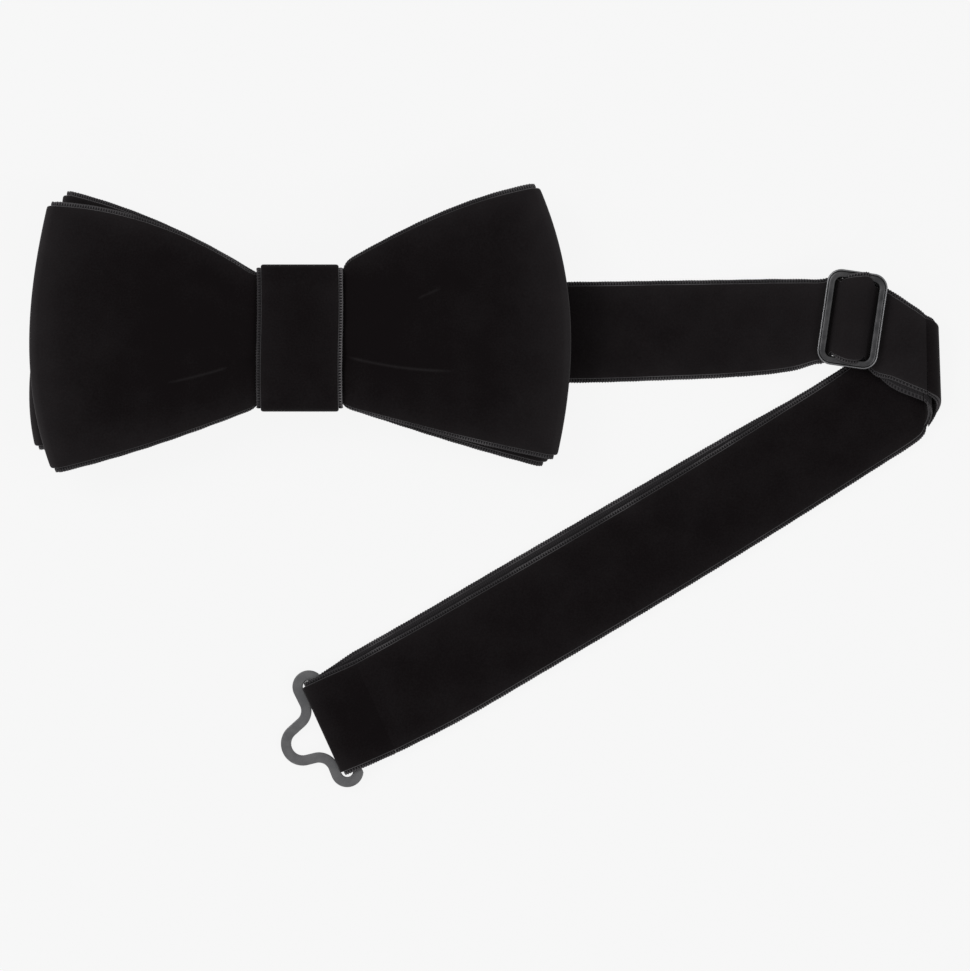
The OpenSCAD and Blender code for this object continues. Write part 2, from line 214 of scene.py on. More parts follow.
def skin(name, points, along, across, traits, loop, material, edges=()):
    """A mesh on a grid of points, rows along the piece and columns round its profile. The
    columns close on themselves; so do the rows where loop is true, and flat faces end them
    where it is not. along gives each row's place for the weave and across each column's."""
    rows, columns = points.shape[:2]
    ends = 0 if loop else 1
    start = np.arange(rows - ends)[:, None]
    side = np.arange(columns)[None, :]
    beside = (side + 1) % columns
    corners = [(start, side), (start + 1, side), (start + 1, beside), (start, beside)]
    quads = np.stack([(r % rows) * columns + c + 0 * start + 0 * side for r, c in corners], -1)
    faces = quads.reshape(-1, 4).tolist()
    if not loop:
        first = np.arange(columns)
        faces += [first.tolist(), (first[::-1] + (rows - 1) * columns).tolist()]
    extra, extra_faces = loops_of_weft(points, edges, loop) if edges else (np.zeros((0, 3)), [])
    mesh = bpy.data.meshes.new(name)
    corners_of = (extra_faces + rows * columns).tolist() if edges else []
    mesh.from_pydata(np.concatenate([points.reshape(-1, 3), extra]).tolist(), [], faces + corners_of)
    for trait, value in traits.items():
        spread = np.broadcast_to(value, (rows, columns)).astype(np.float32).ravel()
        spread = np.concatenate([spread, np.zeros(len(extra), np.float32)])
        mesh.attributes.new(trait, "FLOAT", "POINT").data.foreach_set("value", spread)
    layer = mesh.uv_layers.new(name="weave")
    u = np.stack([along[r] + 0.0 * (start + side) for r, c in corners], -1)
    v = np.stack([across[c] + 0.0 * (start + side) for r, c in corners], -1)
    laid = np.stack([u, v], -1).reshape(-1, 2)
    if not loop:
        ring = np.stack([0 * across, across], -1)
        laid = np.concatenate([laid, ring, ring[::-1]])
    laid = np.concatenate([laid, np.zeros((3 * len(extra_faces), 2))])
    layer.data.foreach_set("uv", laid.astype(np.float32).ravel())
    mesh.materials.append(material)
    mesh.shade_smooth()
    mesh.set_sharp_from_angle(angle=np.radians(50))
    made = bpy.data.objects.new(name, mesh)
    scene.collection.objects.link(made)
    return made


def ribbon_profile(width, thick, selvedge, fine, creased=()):
    """Half-width share, height and place from the edge round a ribbon's section, in mm: a
    thin woven selvedge, a rounded shoulder, the pile face, and back across the woven back.
    creased adds places across the face where a crease needs them."""
    half = width / 2
    inset = np.array([0.0, 0.12, 0.5, 0.88, 0.98, 1.0, 1.06, 1.2, 1.45, 1.8]) * selvedge
    rise = np.array([-0.34, -0.22, -0.20, -0.22, -0.30, -0.05, 0.22, 0.38, 0.47, 0.5]) * thick
    middle = np.linspace(-(half - inset[-1] - 0.4), half - inset[-1] - 0.4, fine)
    across_face = np.sort(np.concatenate([middle, creased]))
    face = np.concatenate([inset - half, across_face, (half - inset)[::-1]])
    face_rise = np.concatenate([rise, np.full(len(across_face), 0.5 * thick), rise[::-1]])
    back = np.concatenate([half - inset[1:4], middle[::-3], (inset[1:4] - half)[::-1]])
    back_rise = np.full(len(back), -0.5 * thick)
    back_rise[[0, -1]] = -0.48 * thick
    place = np.concatenate([face, back])
    height = np.concatenate([face_rise, back_rise])
    pile = np.concatenate([(half - np.abs(face) >= inset[5] - 1e-6), np.zeros(len(back))])
    return place / half, height, half - np.abs(place), pile, place


# Pile colours: the pile's own near-black, and a lighter one that it is mixed towards as painted sheen and
# lighter tone.
velvet_black = (0.0031, 0.0021, 0.0024)
velvet_painted_sheen = (0.0168, 0.0150, 0.0158)
thread_grey = (0.044, 0.042, 0.043)
thread_light = (0.130, 0.125, 0.129)
thread_dark = (0.012, 0.011, 0.012)

velvet_finish, velvet_shader, strand = finish(
    "velvet ribbon", velvet_black, 0.95, Specular_IOR_Level=0.06,
    Sheen_Weight=0.12, Sheen_Roughness=0.38, Sheen_Tint=(0.9, 0.86, 0.88, 1))


def weave_lines(strand):
    """The ribbon's own coordinates: mm along it, mm across it, mm in from the selvedge, and
    the shares of pile and of painted sheen and lighter tone at that place."""
    split = strand.node("ShaderNodeSeparateXYZ", {0: strand.node("ShaderNodeUVMap", uv_map="weave")})
    along = Strand(split.tree, split.socket.node.outputs[0]) * 1000.0
    across = Strand(split.tree, split.socket.node.outputs[1]) * 1000.0
    traits = [strand.node("ShaderNodeAttribute", attribute_name=name, out=2)
              for name in ("edge", "pile", "painted_sheen_and_tone")]
    return along, across, *traits


def step(value, low, high):
    """0 below low, 1 above high, and smooth between them."""
    return value.node("ShaderNodeMapRange", {0: value, 1: low, 2: high}, interpolation_type="SMOOTHSTEP")


def blended(share, first, second):
    """The first colour where share is 0 and the second where it is 1."""
    def full(c):
        return c if isinstance(c, Strand) else (*c, 1)
    return share.node("ShaderNodeMix", {0: share, 6: full(first), 7: full(second)},
                      out=2, data_type="RGBA")


along, across, edge, pile, painted_sheen_and_tone = weave_lines(strand)
body_point = strand.node("ShaderNodeTexCoord", out=3)
nap = strand.node("ShaderNodeTexNoise", {"Vector": body_point, "Scale": 130.0, "Detail": 3.0})
tuft = strand.node("ShaderNodeTexNoise", {"Vector": body_point, "Scale": 2600.0, "Detail": 2.0})
rung = (along * (2 * np.pi / rung_pitch)).maths("SINE") * 0.5 + 0.5
rail = step(edge, 0.16, 0.24) * (1.0 - step(edge, 0.70, 0.86))
ladder = (1.0 - rail) + rail * step(rung, 0.35, 0.75)
rib = (along * (2 * np.pi / 0.45)).maths("SINE") * 0.5 + 0.5
cord_line = (across * (2 * np.pi / 0.9)).maths("SINE") * 0.5 + 0.5
on_selvedge = 1.0 - step(edge, 0.92, 1.04)
worn_patch = strand.node("ShaderNodeTexNoise", {"Vector": body_point, "Scale": 75.0, "Detail": 1.0})
patch = step(worn_patch, 0.45, 0.65)
# The selvedge threads are painted lighter in random patches and where painted sheen is set.
woven = blended(ladder * (0.02 + 0.15 * tuft + 0.22 * patch + 0.2 * painted_sheen_and_tone), thread_dark, thread_light)
back = blended(rib * (0.12 + 0.12 * cord_line), thread_dark, thread_grey)
# The pile is mixed towards its lighter colour by painted sheen and tone, and by random nap and tufts.
sheen_and_nap = (painted_sheen_and_tone * 0.9 + (nap - 0.5) * 0.35 + (tuft - 0.5) * 0.35).maths("MAXIMUM", 0.0)
plush = blended(sheen_and_nap, velvet_black, velvet_painted_sheen)
ground = blended(on_selvedge, back, woven)
blended(pile * (1.0 - on_selvedge), ground, plush).feed(velvet_shader.inputs["Base Color"])
relief = ladder * on_selvedge * 0.9 + tuft * pile * 0.35 + rib * (1.0 - pile) * (1.0 - on_selvedge) * 0.5
relief.node("ShaderNodeBump", {"Height": relief, "Distance": 0.12 * mm, "Strength": 0.8}).feed(
    velvet_shader.inputs["Normal"])

knot_edge = 9.5
bow_width = 61.0
bow_ply = 1.1
canvas_room = 1.4


def edge_line(u, waist, corner, bow_out):
    """Height of a wing's long edge from the knot, 0, to its corner, 1: it rises as a parabola
    from waist to corner, the faster near the knot the larger bow_out is."""
    return waist + (corner - waist) * (bow_out * u - (bow_out - 1) * u * u)


def bow(name, left, right, waist_z, wing_z, pleats, creases, crown):
    """One bow: the ribbon's section carried once round a flattened loop. A wing runs from the
    knot to the end line, which is the straight line between its corners pushed out by a
    leaning parabola; each column of the section keeps its share of the height between the two
    edges. A pleat is a soft hollow or ridge, as a bell curve across its line, that fades out
    along it. A crease is a fine bell curve: a low ridge with a painted highlight along it."""
    creased = np.concatenate([np.linspace(-15.6, -7.9, 40), np.linspace(7.6, 10.6, 14)])
    share, height, edge_in, pile, place = ribbon_profile(bow_width, bow_ply, 0.85, 36, creased)
    leg = np.linspace(0, 1, 140) ** 0.95
    centre = np.linspace(-1, 1, 26)[1:-1]
    turn = np.linspace(0, np.pi, 18)[1:-1]
    zero, one = np.zeros_like, np.ones_like
    parts = [(-one(leg), leg[::-1], zero(leg)), (zero(centre), centre, zero(centre)),
             (one(leg), leg, zero(leg)), (one(turn), one(turn), turn),
             (one(leg), leg[::-1], zero(leg) + np.pi), (zero(centre), -centre, zero(centre) + np.pi),
             (-one(leg), leg, zero(leg) + np.pi), (-one(turn), one(turn), turn[::-1])]
    side, u, phi = (np.concatenate(p)[:, None] for p in zip(*parts))
    wing = side != 0
    s, t = share[None, :], height[None, :]

    def wing_grid(shape, u):
        end = shape["low"][0] + (shape["top"][0] - shape["low"][0]) * (s + 1) / 2
        push = shape["middle"] - (shape["low"][0] + shape["top"][0]) / 2 + shape["lean"] * s
        x = knot_edge + (end + push * (1 - s * s) - end_round - knot_edge) * u
        puff = (1 - np.exp(-60 * u)) * np.exp(-4 * u)
        low = edge_line(u, shape["waist"][0], shape["low"][1], shape["bow_out"][0])
        top = edge_line(u, shape["waist"][1], shape["top"][1], shape["bow_out"][1])
        low, top = low - shape["puff"][0] * puff, top + shape["puff"][1] * puff
        return x, low + (top - low) * (s + 1) / 2

    thick = 2 * bow_ply + canvas_room
    end_round = thick / 2
    reach = np.where(wing, u, 0.0)
    lx, ly = wing_grid(left, reach)
    rx, ry = wing_grid(right, reach)
    mix = (np.where(wing, side, u) + 1) / 2
    x = np.where(wing, np.where(side < 0, -lx, rx), knot_edge * u)
    y = ly + (ry - ly) * mix
    rise = np.clip(reach * 3, 0, 1)
    rise = rise * rise * (3 - 2 * rise)
    middle_z = waist_z + (wing_z - waist_z) * rise
    gather = 0.25 * (1 - rise)
    radius = thick / 2 - bow_ply / 2 + gather
    out = radius + t
    px = x + np.where(wing, side, 0) * out * np.sin(phi)
    pz = middle_z + out * np.cos(phi)
    face_up = np.cos(phi) > 0.5
    lift = crown * (1 - s ** 4) * np.sin(np.pi * np.clip(reach, 0, 1) ** 0.8) ** 0.7
    for at, slope, depth, wide, long in pleats:
        q = np.sign(at[0])
        line = at[1] + slope * (np.abs(px) - abs(at[0]))
        fade = np.clip((abs(at[0]) + long - np.abs(px)) / long, 0, 1)
        fade = fade * fade * (3 - 2 * fade) * np.clip((np.abs(px) - knot_edge + 1.5) / 3, 0, 1)
        spread = wide * (1 + (np.abs(px) - knot_edge) / 18)
        lift = lift + np.where(px * q > 0, depth * fade * np.exp(-((y - line) / spread) ** 2), 0)
    # Each crease also gets a thin painted highlight along its line.
    painted_crease_highlight = 0.0
    for first, last, sag, strength in creases:
        f = (px - first[0]) / (last[0] - first[0])
        line = first[1] + (last[1] - first[1]) * f - sag * 4 * f * (1 - f)
        on = np.clip(f * 8, 0, 1) * np.clip((1 - f) * 5, 0, 1) * face_up
        bell = on * np.exp(-((y - line) / 0.30) ** 2)
        lift = lift + 0.22 * strength * bell
        painted_crease_highlight = painted_crease_highlight + 0.6 * strength * bell
    pz = pz + np.where(face_up, lift, 0)
    points = np.stack([px, y + 0 * px, pz + 0 * px], -1) * mm
    middle = points[:, len(share) // 4]
    run = np.linalg.norm(np.diff(np.concatenate([middle, middle[:1]]), axis=0), axis=1)
    along = np.concatenate([[0], np.cumsum(run)])
    # Painted sheen: the pile is painted lighter near the long edges and the wing ends, more so towards the
    # ends, and most round the turns at the two ends; the crease highlights add to it.
    to_end = np.where(wing, (1 - u) * 46, 60) + 0 * s
    painted_lightening = 0.42 * np.exp(-np.minimum(edge_in[None, :] + 0 * u, to_end) / 5.0) + painted_crease_highlight
    painted_lightening = painted_lightening + 0.16 * np.clip(reach, 0, 1) ** 2 + 0.7 * np.clip(np.sin(phi), 0, 1) - 0.02
    traits = {"edge": edge_in[None, :], "pile": pile[None, :], "painted_sheen_and_tone": painted_lightening}
    low_edge, top_edge = int(np.argmin(place)), int(np.argmax(place))
    made = skin(name, points, along, place * mm, traits, True, velvet_finish,
                edges=((low_edge, low_edge + 4), (top_edge, top_edge - 4)))
    return made, float(along[-1])


front_pleats = [((9.5, -4.0), -0.15, -0.45, 1.1, 28), ((9.5, 1.5), 0.08, 0.35, 2.6, 20),
                ((9.5, -8.5), -0.25, 0.35, 1.8, 18), ((9.5, 8.0), 0.3, 0.30, 2.2, 24),
                ((-9.5, -5.2), -0.25, -0.40, 1.1, 24), ((-9.5, 2.0), 0.1, 0.35, 2.6, 20),
                ((-9.5, -9.5), -0.3, 0.30, 1.8, 16), ((-9.5, 9.0), 0.32, 0.30, 2.2, 22)]
front_creases = [((9.6, -4.0), (35.0, -7.4), 0.9, 0.8), ((-15.5, -6.5), (-30.0, -10.2), 0.2, 0.7),
                 ((26.0, 8.6), (31.5, 11.0), 0.0, 0.5)]
front_rise, back_rise = (9.15, 9.7), (4.95, 5.75)
front_left = {"low": (54.9, -29.8), "top": (55.8, 30.1), "middle": 60.0, "lean": -0.9,
              "waist": (-14.9, 14.5), "bow_out": (1.3, 1.85), "puff": (0.7, -0.8)}
front_right = {"low": (57.0, -26.9), "top": (52.9, 34.0), "middle": 60.1, "lean": 0.6,
               "waist": (-14.6, 14.8), "bow_out": (1.25, 1.56), "puff": (0.9, 1.9)}
back_left = {"low": (58.6, -24.8), "top": (52.4, 32.4), "middle": 58.2, "lean": -2.5,
             "waist": (-14.4, 14.4), "bow_out": (1.3, 1.42), "puff": (0.5, -0.1)}
back_right = {"low": (54.6, -28.4), "top": (53.9, 31.7), "middle": 59.5, "lean": 0.0,
              "waist": (-14.5, 14.4), "bow_out": (1.2, 1.5), "puff": (0.9, 0.5)}

front_bow, front_length = bow("front_bow_ribbon", front_left, front_right, *front_rise, front_pleats,
                              front_creases, 0.5)
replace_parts(front_bow, "front_bow")
back_bow, back_length = bow("back_bow_ribbon", back_left, back_right, *back_rise, [], [], 0.0)
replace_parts(back_bow, "back_bow")
for piece, length, under in ((front_bow, front_length, "back_bow"), (back_bow, back_length, "strap_root")):
    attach(piece, "bow")

# ---- Canvas inside the bows ----
# A layer of stiff natural canvas lies between the two plies of each bow and keeps it flat.
# It stops short of the selvedges and of the folds, and is caught in the gathers.
canvas_finish, canvas_shader, strand = finish("stiff canvas", (0.42, 0.39, 0.33), 0.9)
laid = strand.node("ShaderNodeUVMap", uv_map="weave")
warp = laid.node("ShaderNodeTexWave", {"Vector": laid, "Scale": 700.0, "Distortion": 0.6}, out=1)
weft = laid.node("ShaderNodeTexWave", {"Vector": laid, "Scale": 700.0, "Distortion": 0.6}, out=1,
                 bands_direction="Y")
blended(warp * weft, (0.26, 0.24, 0.20), (0.52, 0.49, 0.42)).feed(canvas_shader.inputs["Base Color"])
laid.node("ShaderNodeBump", {"Height": warp + weft, "Distance": 0.1 * mm}).feed(
    canvas_shader.inputs["Normal"])


def canvas(name, left, right, waist_z, wing_z):
    """A thin plate on the bow's own plan: columns keep their share of the height between the
    long edges, and rows run from one end line to the other, both drawn in by a margin."""
    reach = np.linspace(-0.94, 0.94, 120)[:, None]
    share = np.array([-1, -1, -0.5, 0, 0.5, 1, 1, 0.5, 0, -0.5])[None, :] * 0.93
    thick = np.array([-1, 1, 1, 1, 1, 1, -1, -1, -1, -1])[None, :] * 0.25
    side, u = np.sign(reach), np.clip((np.abs(reach) - 0.15) / 0.85, 0, 1)
    x, y = 0.0, 0.0
    for sign, shape in ((-1, left), (1, right)):
        end = shape["low"][0] + (shape["top"][0] - shape["low"][0]) * (share + 1) / 2
        end = end + (shape["middle"] - (shape["low"][0] + shape["top"][0]) / 2) * (1 - share ** 2)
        far = knot_edge + (end - knot_edge) * u
        near = knot_edge * np.abs(reach) / 0.15
        low = edge_line(u, shape["waist"][0], shape["low"][1], shape["bow_out"][0])
        top = edge_line(u, shape["waist"][1], shape["top"][1], shape["bow_out"][1])
        mine = side == sign
        x = x + mine * sign * np.where(np.abs(reach) < 0.15, near, far)
        y = y + mine * (low + (top - low) * (share + 1) / 2)
    rise = np.clip(u * 3, 0, 1)
    z = waist_z + (wing_z - waist_z) * rise * rise * (3 - 2 * rise) + thick
    points = np.stack([x + 0 * z, y + 0 * z, z], -1) * mm
    along = np.concatenate([[0], np.cumsum(np.linalg.norm(np.diff(points[:, 3], axis=0), axis=1))])
    made = skin(name, points, along, share[0] * 0.03, {}, False, canvas_finish)
    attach(made, "bow")
    return made


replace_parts(canvas("front_canvas", front_left, front_right, *front_rise), "front_interlining")
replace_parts(canvas("back_canvas", back_left, back_right, *back_rise), "back_interlining")

# ---- Threads ----
# Black sewing thread: three turns that gather the waists, and the hand stitches that close the
# knot band, join the neck ribbon's two ends, and tack the loops on the slider and the hook.
thread_finish, thread_shader, strand = finish("sewing thread", thread_grey, 0.6, Sheen_Weight=0.2)
body_point = strand.node("ShaderNodeTexCoord", out=3)
twist = strand.node("ShaderNodeTexWave", {"Vector": body_point, "Scale": 900.0, "Distortion": 1.5},
                    out=1, bands_direction="DIAGONAL")
blended(twist, (0.010, 0.0095, 0.010), (0.045, 0.043, 0.044)).feed(thread_shader.inputs["Base Color"])
twist.node("ShaderNodeBump", {"Height": twist, "Distance": 0.06 * mm}).feed(
    thread_shader.inputs["Normal"])
for name in ("waist_thread", "knot_stitches", "root_stitches", "slider_stitches", "hook_stitches"):
    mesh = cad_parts[name].data
    mesh.materials.clear()
    mesh.materials.append(thread_finish)

# ---- Knot ----
# A strip of the narrow velvet ribbon wrapped once round both waists, pile outwards, with its
# two ends meeting and hand-sewn low on the back.


def rounded_path(corners, radius, pitch):
    """An evenly stepped path through the corners. Each one but the ends is turned on an arc
    of the radius, tangent to both of the corner's sides."""
    corners = np.asarray(corners, float)
    before, at, after = corners[:-2], corners[1:-1], corners[2:]
    into = (at - before) / np.linalg.norm(at - before, axis=1)[:, None]
    away = (after - at) / np.linalg.norm(after - at, axis=1)[:, None]
    half_turn = np.arccos(np.clip((into * away).sum(1), -1, 1)) / 2
    inward = away - into
    inward = inward / np.linalg.norm(inward, axis=1)[:, None]
    middle = at + inward * (radius / np.cos(half_turn))[:, None]
    share = np.linspace(-1, 1, 13)
    angle = share[None, :] * half_turn[:, None]
    ahead = into + away
    ahead = ahead / np.linalg.norm(ahead, axis=1)[:, None]
    arcs = middle[:, None, :] + radius * (np.sin(angle)[..., None] * ahead[:, None, :]
                                          - np.cos(angle)[..., None] * inward[:, None, :])
    path = np.concatenate([corners[:1], arcs.reshape(-1, corners.shape[1]), corners[-1:]])
    gone = np.concatenate([[0], np.cumsum(np.linalg.norm(np.diff(path, axis=0), axis=1))])
    stops = np.linspace(0, gone[-1], int(round(gone[-1] / pitch)) + 1)
    return np.stack([np.interp(stops, gone, column) for column in path.T], -1)


def carried(centre, across, width, share, height, cup=0.0, loop=False):
    """A section carried along a path. Each of its points goes out from the path by its share
    of half the width in the across direction, and by its height along the normal, which is the
    path's direction crossed with the across direction. cup lifts the edges, as share to the
    fourth power."""
    if loop:
        ahead = np.roll(centre, -1, axis=0) - np.roll(centre, 1, axis=0)
    else:
        ahead = np.gradient(centre, axis=0)
    normal = np.cross(ahead, across)
    normal = normal / np.linalg.norm(normal, axis=1)[:, None]
    width, cup = (np.broadcast_to(a, len(centre))[:, None, None] for a in (width, cup))
    share, height = share[None, :, None], np.broadcast_to(height, (len(centre), len(share)))[..., None]
    return (centre[:, None, :] + across[:, None, :] * width / 2 * share
            + normal[:, None, :] * (height + cup * share ** 4))


def gone_along(centre):
    """How far along the path each of its points is, in the path's own unit."""
    return np.concatenate([[0], np.cumsum(np.linalg.norm(np.diff(centre, axis=0), axis=1))])


def velvet_strip(name, centre, across, width, thick, selvedge, fine, painted_lightening=0.0, cup=0.0, face=1, lit=0.0):
    """A length of velvet ribbon on a path, all in mm. The selvedge's rungs stand up as a
    cosine along the path, one each pitch. face is 1 with the pile on the normal's side.
    lit paints a highlight on the selvedge on the far side. The pile is painted lighter near both
    selvedges, as sheen, and lighter again along the strip by the amount given."""
    share, height, edge, pile, place = ribbon_profile(np.max(width), thick, selvedge, fine)
    gone = gone_along(centre)
    on_selvedge = (edge > 0.1) & (edge < 0.8) & (pile < 0.5)
    rungs = 0.08 * np.cos(2 * np.pi * gone / rung_pitch)[:, None] * on_selvedge
    tall = (height[None, :] + rungs) * face
    across = np.broadcast_to(across, centre.shape)
    points = carried(centre, across, width, share, tall, cup * face)
    if face < 0:
        points = points[:, ::-1]
        edge, pile, place = edge[::-1], pile[::-1], place[::-1]
    # Painted sheen near both selvedges, plus the painted lightening given, plus a painted highlight on the
    # far selvedge where lit is set.
    painted_sheen_share = 0.3 * np.exp(-edge / 2.2)[None, :] + np.broadcast_to(painted_lightening, len(centre))[:, None]
    painted_sheen_share = painted_sheen_share + lit * ((place > 0) & (edge < selvedge))[None, :]
    traits = {"edge": edge[None, :], "pile": pile[None, :], "painted_sheen_and_tone": painted_sheen_share}
    low_edge, top_edge = int(np.argmin(place)), int(np.argmax(place))
    step_in = 4 * face
    made = skin(name, points * mm, gone * mm, place * mm, traits, False, velvet_finish,
                edges=((low_edge, low_edge + step_in), (top_edge, top_edge - step_in)))
    return made, gone[-1]


row_pitch = rung_pitch / 4
seam = -6.0
knot_width = 19.0
path = rounded_path([(seam + 0.25, 0.56), (15.68, 0.56), (15.68, 12.36), (-15.86, 12.36),
                     (-15.86, 0.56), (seam - 0.25, 0.56)], 1.5, row_pitch)
centre = np.concatenate([np.zeros((len(path), 1)), path], 1)
front_of_knot = centre[:, 2] > 12.2
centre[:, 2] += 0.22 * np.clip(1 - (centre[:, 1] / 14) ** 2, 0, 1) * front_of_knot
centre[:, 0] += 0.12 * np.sin(centre[:, 1] / 5)
# The knot's pile is painted a little lighter all over, and its far selvedge gets a strong painted highlight.
knot, length = velvet_strip("knot_ribbon", centre, (1.0, 0, 0), knot_width, 1.1, 0.85, 14,
                            painted_lightening=0.08, lit=2.5)
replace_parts(knot, "knot_band")
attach(knot, "bow")

# ---- Neck ribbon, knot to slider ----
# One long length of 22 mm velvet ribbon. It is sewn in behind the bows, lies flat on the
# table, and rises over its own tail through the slider: under the frame and over the bar.
slider_at = np.array([122.6, 4.1])
slider_turn = np.radians(-8.3)
slider_ahead = np.array([np.cos(slider_turn), np.sin(slider_turn)])
strap_thick = 1.0


def drawn_through(stations, pitch):
    """A smooth path through stations of x, y, z, heading and width: a cubic between each two,
    with every station's slope taken from its neighbours, stepped at the pitch."""
    stations = np.asarray(stations, float)
    at = gone_along(stations[:, :3])
    slope = np.gradient(stations, at, axis=0)
    stops = np.linspace(0, at[-1], int(round(at[-1] / pitch)) + 1)
    i = np.clip(np.searchsorted(at, stops, side="right") - 1, 0, len(at) - 2)
    span = (at[i + 1] - at[i])[:, None]
    f = (stops[:, None] - at[i][:, None]) / span
    return ((2 * f ** 3 - 3 * f ** 2 + 1) * stations[i] + (f ** 3 - 2 * f ** 2 + f) * span * slope[i]
            + (3 * f ** 2 - 2 * f ** 3) * stations[i + 1] + (f ** 3 - f ** 2) * span * slope[i + 1])


def in_slider(u, z, width, aside=0.0, heading=None):
    """A station at u along the ribbon from the slider's middle bar, and aside from its middle."""
    x, y = slider_at + u * slider_ahead + aside * np.array([-slider_ahead[1], slider_ahead[0]])
    return x, y, z, np.degrees(slider_turn) if heading is None else heading, width


def sideways(heading):
    """The direction across a ribbon that heads that way, in degrees, on the level."""
    turn = np.radians(heading)
    return np.stack([-np.sin(turn), np.cos(turn), 0 * turn], -1)


squeezed = 17.3
crease_x, inner_x = 139.1, 138.2
run = drawn_through([
    (0.3, 1.1, 1.8, 0, 22), (6, 1.1, 1.8, 0, 22), (12, 1.1, 1.75, 0, 22), (20, 1.15, 0.95, 0, 22.1),
    (28, 1.2, 0.52, 0, 22.3), (45, 1.2, 0.5, 0, 22.3), (65, 1.25, 0.5, 0, 22.3),
    (82, 1.65, 0.5, 0, 22.0), (90, 1.85, 0.7, 0, 21.8), (97, 2.1, 1.1, -0.5, 21.5),
    (105, 2.5, 2.6, -2, 21.0), (111, 2.95, 4.5, -4, 20.1),
    in_slider(-7.0, 5.5, 19.0, -1.5, -6), in_slider(-4.8, 5.6, 19.4, -0.6),
    in_slider(-3.6, 6.15, squeezed), in_slider(-2.4, 7.45, 18.6, 0.2), in_slider(0, 7.95, 20.2, 0.3),
    in_slider(2.4, 7.6, 20.2, 0.5), in_slider(3.7, 6.2, squeezed, 0.1), in_slider(4.9, 5.6, 18.2, -0.8, -10),
    in_slider(7.3, 5.5, 18.9, -2.1, -12), (133.6, -1.0, 5.5, -14, 17.4),
    (crease_x, -3.8, 5.5, 1, 17.6)], row_pitch)
u_here = (run[:, :2] - slider_at) @ slider_ahead
over_bar = np.exp(-(u_here / 2.4) ** 2)
flat_end = int(np.argmax(run[:, 0] > 97))
root_end = int(np.argmax(run[:, 0] > 24))
slider_end = int(np.argmax(u_here > 7.3))


def strap_piece(name, a, b, node):
    """The rows of the neck ribbon from a to b as a piece of their own."""
    part = slice(a, b + 1)
    # The neck ribbon's pile is painted lighter, and lighter still from 97 mm along, where it rises to the
    # slider.
    made, length = velvet_strip(name, run[part, :3], sideways(run[part, 3]), run[part, 4],
                                strap_thick, 0.8, 14, cup=0.75 * over_bar[part],
                                painted_lightening=0.2 + 0.2 * np.clip((run[part, 0] - 97) / 20, 0, 1))
    if node:
        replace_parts(made, node)
    return made


root = strap_piece("strap_root_ribbon", 0, root_end, "strap_root")
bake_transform(root)
flat = strap_piece("strap_run_ribbon", root_end, flat_end, "strap_run")
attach(flat, "strap")
run_start, run_stop = run[root_end, 0] * mm, run[flat_end, 0] * mm
1 - 0.046 / (run_stop - run_start)
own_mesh(flat)
threaded = strap_piece("strap_threaded_ribbon", flat_end, slider_end, None)
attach(threaded, "slider")
bridge = strap_piece("strap_bridge_ribbon", slider_end, len(run) - 1, "strap_bridge")
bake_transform(bridge)

# ---- Second ply and the loop on the slider ----
# The ribbon's far end comes back from the crease under the first ply with its pile down,
# goes round the slider's middle bar, and is turned under and tacked to itself.
under_path = drawn_through([in_slider(6.4, 4.3, 17.4, -1.2), in_slider(8.4, 4.3, 17.2, -3.2, -12),
                     (133.0, -2.4, 4.3, -14, 17.2), (inner_x, -5.4, 4.3, 1, 17.2)], row_pitch)
under_ply, length = velvet_strip("strap_return_ribbon", under_path[:, :3], sideways(under_path[:, 3]),
                                 under_path[:, 4], strap_thick, 0.8, 14, face=-1)
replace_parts(under_ply, "strap_return")
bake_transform(under_ply)

bar_z = 5.1
wrap = 1.2
angle = np.radians(np.linspace(80, 272, 60))
round_bar = np.stack([wrap * np.cos(angle), bar_z + wrap * np.sin(angle)], -1)
profile_path = np.concatenate([[(6.2, 4.42), (4.6, 4.42), (2.2, 5.6)], round_bar,
                               [(3.0, 3.0), (8.4, 3.0)]])
gone = gone_along(profile_path)
stops = np.linspace(0, gone[-1], 170)
profile_path = np.stack([np.interp(stops, gone, c) for c in profile_path.T], -1)
tucked = np.clip((stops - gone[-2]) / (gone[-1] - gone[-2]), 0, 1)[:, None]
centre = slider_at + profile_path[:, :1] * slider_ahead + tucked * (-0.2, -1.3)
centre = np.concatenate([centre, profile_path[:, 1:]], 1)
across = sideways(np.full(len(centre), np.degrees(slider_turn)))
loop, length = velvet_strip("slider_loop_ribbon", centre, across, squeezed + 0.3 - 2.2 * tucked[:, 0],
                            strap_thick, 0.8, 12)
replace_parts(loop, "slider_loop")
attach(loop, "slider")

# ---- Fold at the far end ----
# The doubled ribbon is turned down on a slanting crease, one ply round the other, and goes
# back under itself. The pile opens on the outside of the turn, painted lighter round its middle as sheen.
crease_across = sideways(np.full(1, 2.0))[0]
crease_z = 3.0
angle = np.radians(np.linspace(0, 180, 52))
quarters = np.radians([0, 45, 90, 135, 180])
for name, at_x, radius, tops, lows, face, upper, lower in (
        ("fold_outer", crease_x, 2.5, (5.0, 4.3, 3.2, 3.6, 4.2), (-12.6, -13.7, -15.0, -17.4, -19.8), 1,
         5.0, 1.0),
        ("fold_inner", inner_x, 1.3, (3.2, 3.0, 2.8, 3.2, 4.0), (-14.0, -15.4, -17.0, -18.8, -20.3), -1,
         3.8, 2.2)):
    top, low_end = np.interp(angle, quarters, tops), np.interp(angle, quarters, lows)
    centre = np.stack([at_x + radius * np.sin(angle), (top + low_end) / 2,
                       crease_z + radius * np.cos(angle)], -1)
    wide = top - low_end
    half_turn, length = velvet_strip(name + "_ribbon", centre, crease_across, wide, strap_thick,
                                     0.8, 14, painted_lightening=0.35 * np.sin(angle), face=face)
    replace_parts(half_turn, name)
    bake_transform(half_turn)

